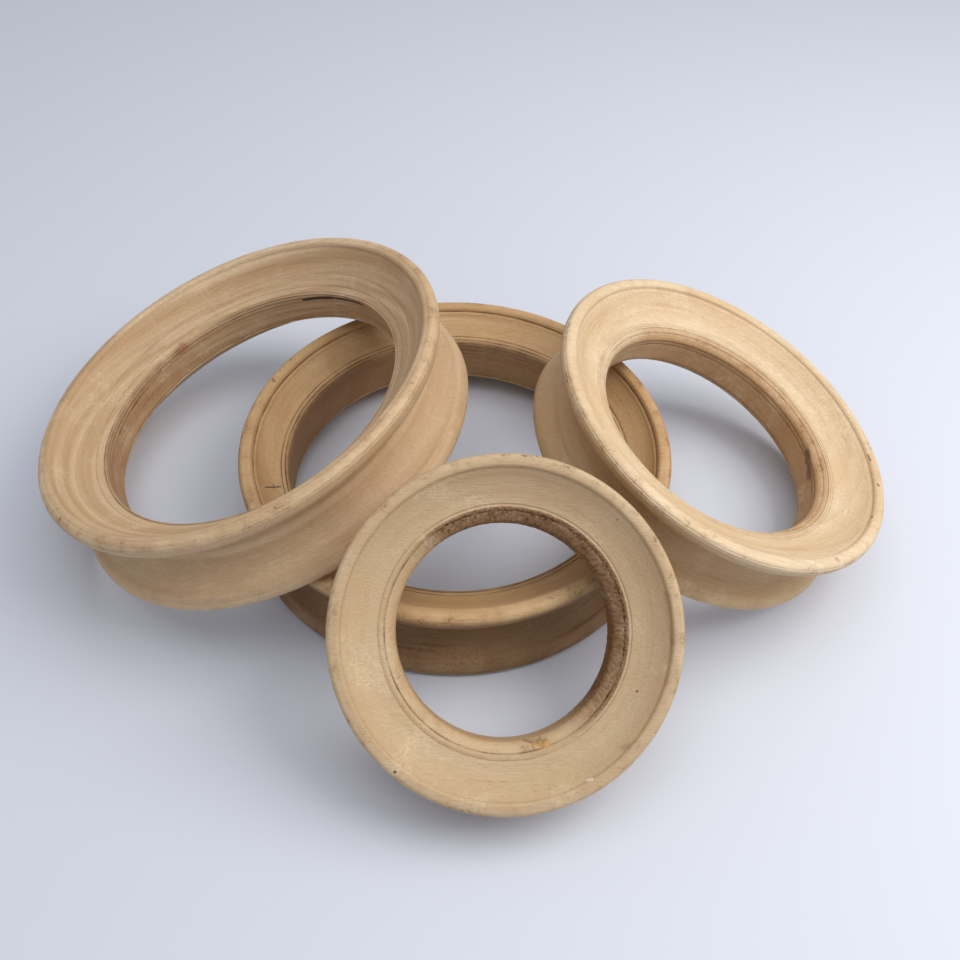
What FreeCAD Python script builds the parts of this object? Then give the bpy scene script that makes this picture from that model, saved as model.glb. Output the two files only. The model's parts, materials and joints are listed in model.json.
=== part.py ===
import FreeCAD, Part
import math
import os
from collections import namedtuple

# Four drum shells, each turned on a lathe from one blank of wood: a wide ring, flared at both faces and
# waisted between them, with a rolled rim and a dished face that runs down to an open throat.
# The base shell lies flat. The other three stand on the floor beside it and lean on its rim.
# Millimetres, +Z up. The origin is the middle of the base shell's lower face, and the front is at -Y.


class Turning(namedtuple("Turning", [
    "outer_radius",    # over the upper rim
    "lower_set_in",    # how much smaller the lower rim is
    "depth",           # from face to face, along the axis
    "face_width",      # from the upper rim's edge in to the throat
    "wall",            # between the throat and the waist, where the waist is narrowest
    "lip_width",       # from the throat out to where the dished face ends
    "lip_height",      # from the throat's end up to where the dished face ends
    "dish_depth",      # from the upper rim's crest down to the lip
    "under_depth",     # the same, on the lower face
    "rim_round",       # radius of the rim's rounded outer edge
    "rim_band",        # height of the rolled rim, seen from outside
])):
    @property
    def lower_radius(self):
        return self.outer_radius - self.lower_set_in

    @property
    def throat_radius(self):
        return self.outer_radius - self.face_width

    @property
    def waist_radius(self):
        return self.throat_radius + self.wall

    @property
    def lip_radius(self):
        return self.throat_radius + self.lip_width

    def throat_end(self, dish_depth):
        """How far the throat runs from the middle, under a face that is dished this deep."""
        return self.depth / 2 - dish_depth - self.lip_height


Lean = namedtuple("Lean", [
    "heading",         # where the shell stands, degrees round the base shell from +X
    "turn",            # how far it faces away from that heading, degrees
    "foot_gap",        # from the base shell's edge out to where the shell meets the floor
])

# ---- Driving dimensions, mm and degrees -------------------------------------

BASE = Turning(
    outer_radius=150.0, lower_set_in=0.0, depth=67.0, face_width=33.0, wall=14.0,
    lip_width=1.5, lip_height=4.0, dish_depth=14.5, under_depth=14.5, rim_round=5.0, rim_band=14.0,
)
LEFT = Turning(
    outer_radius=146.0, lower_set_in=0.0, depth=68.0, face_width=38.0, wall=15.0,
    lip_width=1.5, lip_height=2.0, dish_depth=24.0, under_depth=20.0, rim_round=5.0, rim_band=14.0,
)
RIGHT = Turning(
    outer_radius=126.0, lower_set_in=6.0, depth=61.0, face_width=42.0, wall=19.0,
    lip_width=6.5, lip_height=6.0, dish_depth=15.5, under_depth=13.0, rim_round=4.5, rim_band=12.0,
)
FRONT = Turning(
    outer_radius=102.5, lower_set_in=6.5, depth=47.0, face_width=39.0, wall=19.5,
    lip_width=8.5, lip_height=6.5, dish_depth=13.0, under_depth=4.0, rim_round=3.5, rim_band=10.0,
)

LEFT_LEAN = Lean(heading=174.0, turn=0.0, foot_gap=113.0)
RIGHT_LEAN = Lean(heading=-1.4, turn=0.0, foot_gap=119.0)
FRONT_LEAN = Lean(heading=-81.5, turn=-4.5, foot_gap=76.0)

RIM_LAND = 3.0         # flat crest of each rim, which a shell rests on
RIM_TUCK = 3.5         # how far the rolled rim tucks in where it meets the waist
RIM_ROLL = 0.8         # bulge of the rolled rim's lower part
DISH_SAG = 2.0         # how hollow the dished face is
LIP_ROLL = 0.8         # bulge of the lip into the throat

CONTACT_GAP = 0.3      # between a leaning shell and the base shell it leans on
NEIGHBOUR_GAP = 0.5    # least room between two leaning shells
SLIDE_STEP = 1.0       # how far a leaning shell moves out at a time, where a neighbour is in its way

FLATTEST = 2.0         # tilt at which a leaning shell would cut into the base shell, degrees
STEEPEST = 60.0        # tilt at which it stands clear of the base shell, degrees
TILT_HALVINGS = 13     # halvings of that range, down to under a hundredth of a degree
ARC_POINTS = 7         # points along each edge of the section, when room is measured
ROUND_POINTS = 600     # points round each rim, when room is measured


# ---- The turned section ------------------------------------------------------

def bulged_arc(start, end, bulge):
    """Arc between two (radius, height) points that stands bulge to the left of the straight line."""
    run = math.dist(start, end)
    side_r = -(end[1] - start[1]) / run
    side_z = (end[0] - start[0]) / run
    middle_r = (start[0] + end[0]) / 2 + bulge * side_r
    middle_z = (start[1] + end[1]) / 2 + bulge * side_z
    return Part.Arc(
        FreeCAD.Vector(start[0], 0, start[1]),
        FreeCAD.Vector(middle_r, 0, middle_z),
        FreeCAD.Vector(end[0], 0, end[1]),
    ).toShape()


def straight(start, end):
    return Part.LineSegment(
        FreeCAD.Vector(start[0], 0, start[1]),
        FreeCAD.Vector(end[0], 0, end[1]),
    ).toShape()


def quarter_bulge(radius):
    """How far a quarter circle stands from the line between its ends."""
    return radius * (1 - math.sqrt(0.5))


def tuck_point(shell, rim_radius):
    """Where the rolled rim meets the hollow of the waist."""
    return (rim_radius - RIM_TUCK, shell.depth / 2 - shell.rim_band)


def rim_edges(shell, rim_radius):
    """The rolled rim, from the waist's hollow over the crest to the dished face."""
    crest = shell.depth / 2
    side = (rim_radius, crest - shell.rim_round)
    land_outside = (rim_radius - shell.rim_round, crest)
    land_inside = (land_outside[0] - RIM_LAND, crest)
    dish_top = (land_inside[0] - shell.rim_round / 2, crest - shell.rim_round / 2)
    return dish_top, [
        bulged_arc(tuck_point(shell, rim_radius), side, -RIM_ROLL),
        bulged_arc(side, land_outside, -quarter_bulge(shell.rim_round)),
        straight(land_outside, land_inside),
        bulged_arc(land_inside, dish_top, -quarter_bulge(shell.rim_round / 2)),
    ]


def face_edges(shell, dish_top, dish_depth):
    """The dished face and the lip, from the rim down to the throat."""
    lip = (shell.lip_radius, shell.depth / 2 - dish_depth)
    throat_end = (shell.throat_radius, shell.throat_end(dish_depth))
    return [
        bulged_arc(dish_top, lip, DISH_SAG),
        bulged_arc(lip, throat_end, -LIP_ROLL),
    ]


def upside_down(edges):
    return [edge.mirror(FreeCAD.Vector(), FreeCAD.Vector(0, 0, 1)) for edge in edges]


def section_edges(shell):
    """The section's whole outline, in the plane of radius and height, and its two rims alone."""
    upper_dish, upper_rim = rim_edges(shell, shell.outer_radius)
    lower_dish, lower_rim = rim_edges(shell, shell.lower_radius)
    upper_tuck = tuck_point(shell, shell.outer_radius)
    lower_tuck = tuck_point(shell, shell.lower_radius)
    waist = Part.Arc(
        FreeCAD.Vector(lower_tuck[0], 0, -lower_tuck[1]),
        FreeCAD.Vector(shell.waist_radius, 0, 0),
        FreeCAD.Vector(upper_tuck[0], 0, upper_tuck[1]),
    ).toShape()
    throat = straight(
        (shell.throat_radius, shell.throat_end(shell.dish_depth)),
        (shell.throat_radius, -shell.throat_end(shell.under_depth)),
    )
    rims = upper_rim + upside_down(lower_rim)
    faces = face_edges(shell, upper_dish, shell.dish_depth)
    faces += upside_down(face_edges(shell, lower_dish, shell.under_depth))
    return [waist, throat] + rims + faces, rims


def turned_shell(shell):
    """One shell as turned, with its axis on Z and its middle at the origin."""
    outline = Part.Wire(Part.__sortEdges__(section_edges(shell)[0]))
    return Part.Face(outline).revolve(FreeCAD.Vector(), FreeCAD.Vector(0, 0, 1), 360)


# ---- Room between two shells ---------------------------------------------------

def points_along(edge):
    return [(point.x, point.z) for point in edge.discretize(ARC_POINTS)]


class PlacedShell:
    """A shell in its place, with its outline as short straight pieces to measure from."""

    def __init__(self, shell, placement):
        outline, rims = section_edges(shell)
        self.shell = shell
        self.placement = placement
        self.to_local = placement.inverse()
        self.pieces = []
        for edge in outline:
            points = points_along(edge)
            self.pieces += zip(points, points[1:])
        self.rim_points = [point for edge in rims for point in points_along(edge)[1:]]

    def rim_surface(self):
        """Points all round both rims, where they lie."""
        rotation = self.placement.Rotation
        axis = rotation.multVec(FreeCAD.Vector(0, 0, 1))
        for step in range(ROUND_POINTS):
            angle = 2 * math.pi * step / ROUND_POINTS
            outwards = rotation.multVec(FreeCAD.Vector(math.cos(angle), math.sin(angle), 0))
            for radius, height in self.rim_points:
                yield self.placement.Base + outwards * radius + axis * height

    def room_at(self, point, wanted):
        """Distance from a point to the wood, below zero inside it. Past wanted it may be short."""
        local = self.to_local.multVec(point)
        radius = math.hypot(local.x, local.y)
        outside_box = max(
            abs(local.z) - self.shell.depth / 2,
            self.shell.throat_radius - radius,
            radius - self.shell.outer_radius,
        )
        if outside_box >= wanted:
            return outside_box
        return signed_distance(radius, local.z, self.pieces)


def signed_distance(radius, height, pieces):
    """Distance from a point of the section's plane to the outline, below zero inside it."""
    nearest = math.inf
    inside = False
    for (start_r, start_z), (end_r, end_z) in pieces:
        run_r = end_r - start_r
        run_z = end_z - start_z
        along = ((radius - start_r) * run_r + (height - start_z) * run_z) / (run_r ** 2 + run_z ** 2)
        along = min(1.0, max(0.0, along))
        gap = math.hypot(radius - start_r - along * run_r, height - start_z - along * run_z)
        nearest = min(nearest, gap)
        if (start_z > height) != (end_z > height):
            if radius < start_r + run_r * (height - start_z) / run_z:
                inside = not inside
    return -nearest if inside else nearest


def room_between(one, other, wanted):
    """The least distance between two shells, or some distance over wanted where there is more."""
    room = wanted
    for mover, target in ((one, other), (other, one)):
        for point in mover.rim_surface():
            room = min(room, target.room_at(point, room))
    return room


# ---- Standing and leaning ----------------------------------------------------

def facing(lean, tilt):
    """Turns a shell's axis from +Z down towards the way it faces."""
    spin = FreeCAD.Rotation(FreeCAD.Vector(0, 0, 1), lean.heading + lean.turn)
    drop = FreeCAD.Rotation(FreeCAD.Vector(0, 1, 0), tilt)
    return spin.multiply(drop)


def stood_on_foot(shell, lean, tilt, foot_distance):
    """The shell tilted, with the outer edge of its lower rim on the floor."""
    rotation = facing(lean, tilt)
    heading = math.radians(lean.heading)
    foot = FreeCAD.Vector(foot_distance * math.cos(heading), foot_distance * math.sin(heading), 0)
    round_centre = FreeCAD.Vector(
        shell.lower_radius - shell.rim_round, 0, shell.rim_round - shell.depth / 2)
    above_foot = FreeCAD.Vector(0, 0, shell.rim_round)
    middle = foot + above_foot - rotation.multVec(round_centre)
    return PlacedShell(shell, FreeCAD.Placement(middle, rotation))


def let_down(shell, lean, foot_distance, base):
    """Lets a shell down about its foot until it is CONTACT_GAP from the base shell."""
    too_flat = FLATTEST
    clear = STEEPEST
    for _ in range(TILT_HALVINGS):
        tilt = (too_flat + clear) / 2
        placed = stood_on_foot(shell, lean, tilt, foot_distance)
        if room_between(placed, base, 2 * CONTACT_GAP) > CONTACT_GAP:
            clear = tilt
        else:
            too_flat = tilt
    return stood_on_foot(shell, lean, clear, foot_distance)


def leaning_shell(shell, lean, base, neighbours):
    """Leans a shell on the base shell, far enough out to clear the shells that lean there already."""
    foot_distance = base.shell.outer_radius + lean.foot_gap
    placed = let_down(shell, lean, foot_distance, base)
    while any(room_between(placed, other, 2 * NEIGHBOUR_GAP) < NEIGHBOUR_GAP for other in neighbours):
        foot_distance += SLIDE_STEP
        placed = let_down(shell, lean, foot_distance, base)
    return placed


# ---- The set -------------------------------------------------------------------

def build_set():
    upright = FreeCAD.Placement(FreeCAD.Vector(0, 0, BASE.depth / 2), FreeCAD.Rotation())
    base = PlacedShell(BASE, upright)
    left = leaning_shell(LEFT, LEFT_LEAN, base, [])
    right = leaning_shell(RIGHT, RIGHT_LEAN, base, [left])
    front = leaning_shell(FRONT, FRONT_LEAN, base, [left, right])
    return {
        "base_shell": base,
        "left_shell": left,
        "right_shell": right,
        "front_shell": front,
    }


os.makedirs("parts", exist_ok=True)
for name, placed in build_set().items():
    solid = turned_shell(placed.shell)
    solid.Placement = placed.placement
    solid.exportStep("parts/" + name + ".step")
    middle = [round(part, 3) for part in placed.placement.Base]
    axis = [round(part, 5) for part in placed.placement.Rotation.multVec(FreeCAD.Vector(0, 0, 1))]
    print(name, "middle", middle, "axis", axis)
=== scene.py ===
# %% [markdown]
# # Four turned drum shells
# Four bare wooden rings, each turned on a lathe from one blank: a rolled rim at each face, a dished face inside
# it, a waist outside and an open throat. The largest lies flat and the others lean on its rim.
# This file builds their finished surfaces in Blender. Each shell is one lathe job, so each is made by the same
# Geometry Nodes lathe, fed with that shell's own section, and then given its own wood.
#
# The first cell loads the plain model that fixes where everything is. Nothing here moves it.

# %% Load the frame
import json
import math

import bpy
import numpy as np
from mathutils import Matrix, Vector


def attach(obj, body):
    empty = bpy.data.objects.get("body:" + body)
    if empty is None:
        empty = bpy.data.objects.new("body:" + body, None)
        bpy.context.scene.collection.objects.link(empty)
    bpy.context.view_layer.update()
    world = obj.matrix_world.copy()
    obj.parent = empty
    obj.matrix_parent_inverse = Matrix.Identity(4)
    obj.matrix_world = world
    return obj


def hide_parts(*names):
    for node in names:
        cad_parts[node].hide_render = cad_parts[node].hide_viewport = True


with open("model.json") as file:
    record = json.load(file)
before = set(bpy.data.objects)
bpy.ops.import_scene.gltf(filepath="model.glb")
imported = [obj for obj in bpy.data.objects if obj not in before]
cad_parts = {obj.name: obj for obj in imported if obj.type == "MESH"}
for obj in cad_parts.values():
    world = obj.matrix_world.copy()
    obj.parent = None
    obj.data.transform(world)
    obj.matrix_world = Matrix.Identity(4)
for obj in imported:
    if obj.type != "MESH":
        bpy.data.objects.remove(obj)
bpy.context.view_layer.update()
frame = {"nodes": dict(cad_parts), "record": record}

MM = 0.001

# %% [markdown]
# ## Where each shell stands
# A ring's axis and middle can be measured from any closed mesh of it. The sums over its triangles give the
# solid's centroid and its second moments, and the axis is the direction in which a flat ring is stiffest.
# Measuring is better than typing angles again: the lean follows the frame, whatever it is.


# %% Measure a shell's middle, axis and sizes
def solid_moments(mesh):
    """Volume, centroid and second moments about the centroid of a closed mesh."""
    mesh.calc_loop_triangles()
    corners = np.empty(len(mesh.vertices) * 3)
    mesh.vertices.foreach_get("co", corners)
    triangles = np.empty(len(mesh.loop_triangles) * 3, dtype=int)
    mesh.loop_triangles.foreach_get("vertices", triangles)
    points = corners.reshape(-1, 3)
    a, b, c = (points[triangles.reshape(-1, 3)[:, k]] for k in range(3))
    six_volumes = np.einsum("ij,ij->i", a, np.cross(b, c))
    volume = six_volumes.sum() / 6
    centroid = (six_volumes[:, None] * (a + b + c)).sum(0) / 24 / volume
    a, b, c = a - centroid, b - centroid, c - centroid
    six_volumes = np.einsum("ij,ij->i", a, np.cross(b, c))
    total = a + b + c
    second = sum(np.einsum("i,ij,ik->jk", six_volumes, v, v) for v in (a, b, c, total)) / 120
    return volume, centroid, second, points


def measure_shell(node):
    """A shell's placement, with +Z along its axis and X and Y level where it can be, and its outer sizes."""
    _, centroid, second, points = solid_moments(frame["nodes"][node].data)
    _, directions = np.linalg.eigh(second)
    axis = directions[:, 0] * np.sign(directions[2, 0])
    heights = (points - centroid) @ axis
    middle = centroid + axis * (heights.max() + heights.min()) / 2
    heights = (points - middle) @ axis
    radii = np.linalg.norm(points - middle - np.outer(heights, axis), axis=1)
    turn = Vector((0, 0, 1)).rotation_difference(Vector(axis))
    return {
        "placement": Matrix.Translation(Vector(middle)) @ turn.to_matrix().to_4x4(),
        "depth": heights.max() - heights.min(),
        "outer_radius": radii[heights > 0].max(),
        "lower_radius": radii[heights < 0].max(),
        "throat_radius": radii.min(),
    }


SHELLS = ("base_shell", "left_shell", "right_shell", "front_shell")
measured = {node: measure_shell(node) for node in SHELLS}
for node, sizes in measured.items():
    lean = math.degrees(sizes["placement"].to_quaternion().angle)
    print(node, "leans %.1f degrees," % lean, {k: round(v / MM, 1) for k, v in sizes.items() if k != "placement"})

# %% [markdown]
# ## The camera, the floor and the light
# The rings lie on a plain pale surface, seen from above at about half a right angle. The light is soft and comes
# from the upper right, so the camera and lights are set first: every later choice of colour is judged under them.

# %% Camera
CAMERA_PLACE = Vector((0.0, -0.480, 0.581))
CAMERA_YAW, CAMERA_PITCH, CAMERA_ROLL = (math.radians(a) for a in (2.1, 49.3, 2.0))
CAMERA_LENS = 37.9

camera_data = bpy.data.cameras.new("camera")
camera_data.lens = CAMERA_LENS
camera_data.sensor_width = 36
camera = bpy.data.objects.new("camera", camera_data)
bpy.context.collection.objects.link(camera)
camera.matrix_world = (
    Matrix.Translation(CAMERA_PLACE)
    @ Matrix.Rotation(-CAMERA_YAW, 4, "Z")
    @ Matrix.Rotation(math.pi / 2 - CAMERA_PITCH, 4, "X")
    @ Matrix.Rotation(CAMERA_ROLL, 4, "Z")
)
bpy.context.scene.camera = camera
print("camera", [round(v, 3) for v in camera.location])


# %% Lights
def area_light(name, place, aim, size, power, colour):
    data = bpy.data.lights.new(name, "AREA")
    data.shape = "DISK"
    data.size = size
    data.energy = power
    data.color = colour
    light = bpy.data.objects.new(name, data)
    bpy.context.collection.objects.link(light)
    light.location = place
    light.rotation_euler = (Vector(aim) - Vector(place)).to_track_quat("-Z", "Y").to_euler()
    return light


area_light("window", (0.95, -0.05, 1.05), (0.05, 0, 0), 1.1, 12.5, (1.0, 0.985, 0.96))
area_light("ceiling", (0.0, -0.1, 1.6), (0, 0, 0), 1.6, 8, (0.97, 0.98, 1.0))
world = bpy.data.worlds.new("room")
world.use_nodes = True
world.node_tree.nodes["Background"].inputs["Color"].default_value = (0.80, 0.83, 0.90, 1)
world.node_tree.nodes["Background"].inputs["Strength"].default_value = 0.62
bpy.context.scene.world = world
bpy.context.scene.view_settings.view_transform = "Standard"

# %% Floor
FLOOR_SPAN = 40.0
half = FLOOR_SPAN / 2
floor_mesh = bpy.data.meshes.new("floor")
floor_mesh.from_pydata([(-half, -half, 0), (half, -half, 0), (half, half, 0), (-half, half, 0)], [], [(0, 1, 2, 3)])
floor = bpy.data.objects.new("floor", floor_mesh)
bpy.context.collection.objects.link(floor)
floor_paint = bpy.data.materials.new("pale_floor")
floor_paint.use_nodes = True
floor_shader = floor_paint.node_tree.nodes["Principled BSDF"]
floor_shader.inputs["Base Color"].default_value = (0.62, 0.64, 0.70, 1)
floor_shader.inputs["Roughness"].default_value = 0.55
floor_mesh.materials.append(floor_paint)
print("stage set")

# %% [markdown]
# ## The section of a shell
# A lathe tool only ever cuts a section: a line of points, each a radius and a height. The outline starts at the
# waist, climbs the outside to the rolled rim, falls down the dished face to the lip and passes the throat. The
# lower half is the same outline upside down, with its own rim. It could be drawn by hand as a curve, but a list of
# stretches with real sizes is easier to check: each stretch is an arc with a name, a start, an end and a bulge.

# %% Sizes of the turned sections, millimetres
SECTIONS = {
    "base_shell": dict(waist=131, lip=118.5, lip_height=4.0, dishes=(14.5, 14.5), rim_round=5.0, rim_band=14),
    "left_shell": dict(waist=123, lip=109.5, lip_height=2.0, dishes=(24.0, 20.0), rim_round=5.0, rim_band=14),
    "right_shell": dict(waist=103, lip=90.5, lip_height=6.0, dishes=(15.5, 13.0), rim_round=4.5, rim_band=12),
    "front_shell": dict(waist=83, lip=72.0, lip_height=6.5, dishes=(13.0, 4.0), rim_round=3.5, rim_band=10),
}
RIM_LAND, RIM_TUCK, RIM_ROLL, DISH_SAG, LIP_ROLL = 3.0, 3.5, 0.8, 2.0, 0.8
OUTSIDE, RIM, DISH, LIP, THROAT = 0.0, 0.25, 0.5, 0.75, 1.0


# %% One half of a section, as named stretches
def half_section(sizes, rim_radius, dish_depth, crest, throat):
    """(name, start, end, bulge to the right, zone, how exposed) for each stretch, from the waist to the throat."""
    side = (rim_radius, crest - sizes["rim_round"])
    land_out = (rim_radius - sizes["rim_round"], crest)
    land_in = (land_out[0] - RIM_LAND, crest)
    inner_round = sizes["rim_round"] / 2
    dish_top = (land_in[0] - inner_round, crest - inner_round)
    tuck = (rim_radius - RIM_TUCK, crest - sizes["rim_band"])
    lip = (sizes["lip"], crest - dish_depth)
    throat_end = (throat, lip[1] - sizes["lip_height"])
    quarter = 1 - math.sqrt(0.5)
    waist_middle = ((sizes["waist"], 0.0), tuck)
    run = math.dist(*waist_middle)
    flare = tuck[0] - sizes["waist"]
    hollow = -run ** 2 / (2 * ((tuck[1] ** 2 + flare ** 2) / (2 * flare))) / 4
    return [
        ("waist", *waist_middle, hollow, OUTSIDE, 0.0),
        ("roll", tuck, side, RIM_ROLL, RIM, 0.4),
        ("shoulder", side, land_out, quarter * sizes["rim_round"], RIM, 1.0),
        ("land", land_out, land_in, 0.0, RIM, 0.6),
        ("fall", land_in, dish_top, quarter * inner_round * 0.6, RIM, 0.3),
        ("dish", dish_top, lip, -DISH_SAG, DISH, 0.0),
        ("lip", lip, throat_end, LIP_ROLL, LIP, 0.7),
        ("throat", throat_end, (throat, 0.0), 0.0, THROAT, 0.0),
    ]


def arc(start, end, bulge, step=0.2):
    """Points from start up to but not including end, on an arc that bulges to the right of the way it runs."""
    start, end = np.array(start, float), np.array(end, float)
    chord = end - start
    length = np.linalg.norm(chord)
    shares = np.arange(0, 1, step / length)[:, None]
    if abs(bulge) < 1e-6:
        return start + chord * shares
    right = np.array((chord[1], -chord[0])) / length
    radius = (length ** 2 / 4 + bulge ** 2) / (2 * bulge)
    centre = (start + end) / 2 + right * (bulge - radius)
    half_sweep = math.asin(max(-1, min(1, length / 2 / radius)))
    angles = -half_sweep + 2 * half_sweep * shares
    return centre + radius * (right * np.cos(angles) + chord / length * np.sin(angles))


# %% [markdown]
# Fine grooves and beads are what make a turned edge look turned. Each is a smooth bump along the outline, placed
# by the stretch that it starts from. The outline is first drawn very finely, the grooves are pressed into it, and
# then only the points that the shape needs are kept: many on a quirk a millimetre wide, few on a long easy curve.


# %% Press the grooves in, then thin the outline
def keep_needed(points, tolerance, longest):
    """Indices that hold the outline within the tolerance, with no gap over longest."""
    kept = {0, len(points) - 1}
    stack = [(0, len(points) - 1)]
    while stack:
        first, last = stack.pop()
        if last - first < 2:
            continue
        chord = points[last] - points[first]
        length = np.linalg.norm(chord)
        between = points[first + 1:last] - points[first]
        if length < 1e-6:
            off = np.linalg.norm(between, axis=1)
        else:
            off = np.abs(between @ np.array((-chord[1], chord[0]))) / length
        worst = int(off.argmax())
        if off[worst] > tolerance or length > longest:
            middle = first + 1 + worst if off[worst] > tolerance else (first + last) // 2
            kept.add(middle)
            stack += [(first, middle), (middle, last)]
    return sorted(kept)


# How much of the darker outside colour each stretch takes: most on the waist and the undersides, where it is painted
# shade under the rim, and on the base ring darker wood as well.
OUTSIDE_TONE_AND_SHADE = {
    "waist": 1.0, "lower waist": 1.0, "roll": 0.8, "lower roll": 1.0, "lower shoulder": 0.9, "lower land": 0.6,
}


OUTLINE_TOLERANCE = 0.035
LONGEST_GAP = 2.6


def smoothed(values, reach):
    """The mean over as many neighbours as the reach on both sides, right round the closed outline."""
    width = 2 * reach + 1
    return np.convolve(np.concatenate((values[-reach:], values, values[:reach])), np.ones(width) / width, "valid")


def turned_outline(node):
    """The closed section with its grooves: places, and groove, exposed, zone, outside and run for each."""
    sizes, box = SECTIONS[node], measured[node]
    crest = box["depth"] / 2 / MM
    throat = box["throat_radius"] / MM
    halves = []
    for rim_radius, dish_depth in zip((box["outer_radius"] / MM, box["lower_radius"] / MM), sizes["dishes"]):
        pieces = half_section(sizes, rim_radius, dish_depth, crest, throat)
        halves.append([(name, arc(start, end, bulge), zone, bare) for name, start, end, bulge, zone, bare in pieces])
    upper, lower = halves
    starts, places, zones, bares, outside = {}, [], [], [], []
    turned_over = [("lower " + n, p[::-1] * (1, -1), z, b) for n, p, z, b in reversed(lower)]
    for name, points, zone, bare in upper + turned_over:
        starts[name] = sum(len(p) for p in places)
        places.append(points)
        zones.append(np.full(len(points), zone))
        outside.append(np.full(len(points), OUTSIDE_TONE_AND_SHADE.get(name, 0.0)))
        bares.append(
            bare * np.sin(np.pi * (np.arange(len(points)) + 0.5) / len(points)) if bare < 1
            else np.ones(len(points))
        )
    places, zones, bares = np.concatenate(places), np.concatenate(zones), np.concatenate(bares)
    steps = np.linalg.norm(np.roll(places, -1, 0) - places, axis=1)
    run = np.concatenate(([0], np.cumsum(steps)[:-1]))
    ahead = np.roll(places, -1, 0) - np.roll(places, 1, 0)
    ahead /= np.linalg.norm(ahead, axis=1)[:, None]
    outwards = np.stack((ahead[:, 1], -ahead[:, 0]), 1)
    grooves = np.zeros(len(places))
    raised = np.zeros(len(places))
    for stretch, along, width, depth, dirt_and_shade in GROOVES[node]:
        away = np.abs(run - run[starts[stretch]] - along) / (width / 2)
        bump = np.where(away < 1, np.cos(np.clip(away, 0, 1) * np.pi / 2) ** 2, 0)
        raised -= depth * bump
        if depth > 0:
            grooves = np.maximum(grooves, bump * dirt_and_shade)
    places = places + outwards * raised[:, None]
    bares = smoothed(bares, 4)
    outside = smoothed(np.concatenate(outside), 10)
    kept = keep_needed(places, OUTLINE_TOLERANCE, LONGEST_GAP)
    return places[kept], grooves[kept], bares[kept], zones[kept], outside[kept], run[kept]


# Each groove: the stretch it is counted from, millimetres along, width, depth, and how dark it is coloured, 0 to 1,
# with dirt, and in the left ring's roll groove with painted shade under the rim.
# A negative depth is a bead.
GROOVES = {
    "base_shell": [
        ("dish", 0.6, 1.5, 0.6, 0.8), ("dish", 2.4, 1.8, -0.2, 0), ("lip", -3.4, 1.3, 0.5, 0.8),
        ("lip", -1.9, 1.9, -0.3, 0),
        ("lip", -0.5, 1.3, 0.6, 1.0), ("lip", 2.6, 1.5, 0.4, 0.6),
        ("throat", 5.0, 1.6, 0.3, 0.5), ("throat", 8.5, 1.4, 0.2, 0.3),
        ("roll", 0.3, 1.6, 0.5, 0.7), ("lower roll", 0.3, 1.4, 0.3, 0.4), ("lower lip", 0.0, 1.4, 0.6, 0.6),
        ("lower dish", 21.0, 1.6, 0.6, 0.6),
    ],
    "left_shell": [
        ("shoulder", 1.6, 1.1, 0.25, 0.25), ("land", 0.6, 1.1, 0.2, 0.2), ("dish", 0.8, 2.6, 0.25, 0.1),
        ("dish", 8.5, 1.2, 0.15, 0.1),
        ("dish", 20.0, 1.4, 0.25, 0.2), ("dish", 29.0, 1.3, 0.3, 0.4), ("lip", 0.0, 1.4, 0.4, 0.6),
        ("lip", 2.4, 1.5, 0.5, 0.7),
        # The roll groove on the next line, under the rim, is coloured dark as painted shade under the rim.
        ("throat", 2.4, 1.4, 0.4, 0.6), ("throat", 5.2, 1.4, 0.3, 0.4), ("roll", 0.3, 2.0, 0.5, 0.9),
        ("lower lip", 0.0, 1.4, 0.5, 0.6), ("lower throat", 4.0, 1.4, 0.3, 0.4),
    ],
    "right_shell": [
        ("shoulder", 0.9, 1.0, 0.2, 0.3), ("shoulder", 2.8, 1.0, 0.25, 0.3), ("dish", 0.5, 2.2, 0.25, 0.05),
        ("lip", -2.8, 1.1, 0.3, 0.45), ("lip", -1.2, 1.1, 0.35, 0.5), ("lip", 0.4, 1.1, 0.35, 0.5),
        ("lip", 4.0, 1.4, 0.3, 0.5),
        ("throat", 2.0, 1.4, 0.4, 0.6), ("throat", 5.0, 1.4, 0.4, 0.5),
        ("roll", 0.3, 1.4, 0.4, 0.5), ("lower lip", 0.0, 1.4, 0.5, 0.6),
    ],
    "front_shell": [
        ("dish", 0.6, 2.6, 0.3, 0.08), ("lip", -1.6, 1.4, 0.5, 0.35), ("lip", 0.6, 3.0, -0.4, 0),
        ("lip", 2.5, 1.3, 0.5, 0.8),
        ("roll", 0.3, 1.4, 0.4, 0.5), ("lower lip", 0.0, 1.4, 0.5, 0.6),
    ],
}
outlines = {node: turned_outline(node) for node in SHELLS}
for node, (places, grooves, *_) in outlines.items():
    print(node, "section of", len(places), "points,", int((grooves > 0.9).sum()), "in a groove bottom")

# %% [markdown]
# ## Small helpers for node trees
# Trees are easier to read when a node, its settings and what feeds it stand on one line. An input is either a
# plain value or another node's output; an output is linked and a value is typed into the socket.


# %% Lay down a node
def lay(tree, kind, inputs=None, **settings):
    node = tree.nodes.new(kind)
    for name, value in settings.items():
        setattr(node, name, value)
    for key, value in (inputs or {}).items():
        if isinstance(value, bpy.types.NodeSocket):
            tree.links.new(value, node.inputs[key])
        else:
            node.inputs[key].default_value = value
    return node


def maths(tree, operation, a, b=0.0, c=0.0, clamp=False):
    return lay(tree, "ShaderNodeMath", {0: a, 1: b, 2: c}, operation=operation, use_clamp=clamp).outputs[0]


def vectors(tree, operation, a, b=(0, 0, 0)):
    node = lay(tree, "ShaderNodeVectorMath", {0: a}, operation=operation)
    if operation == "SCALE":
        key = "Scale"
    else:
        key = 1
    if isinstance(b, bpy.types.NodeSocket):
        tree.links.new(b, node.inputs[key])
    else:
        node.inputs[key].default_value = b
    return node.outputs["Value" if operation in ("LENGTH", "DOT_PRODUCT", "DISTANCE") else "Vector"]


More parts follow.
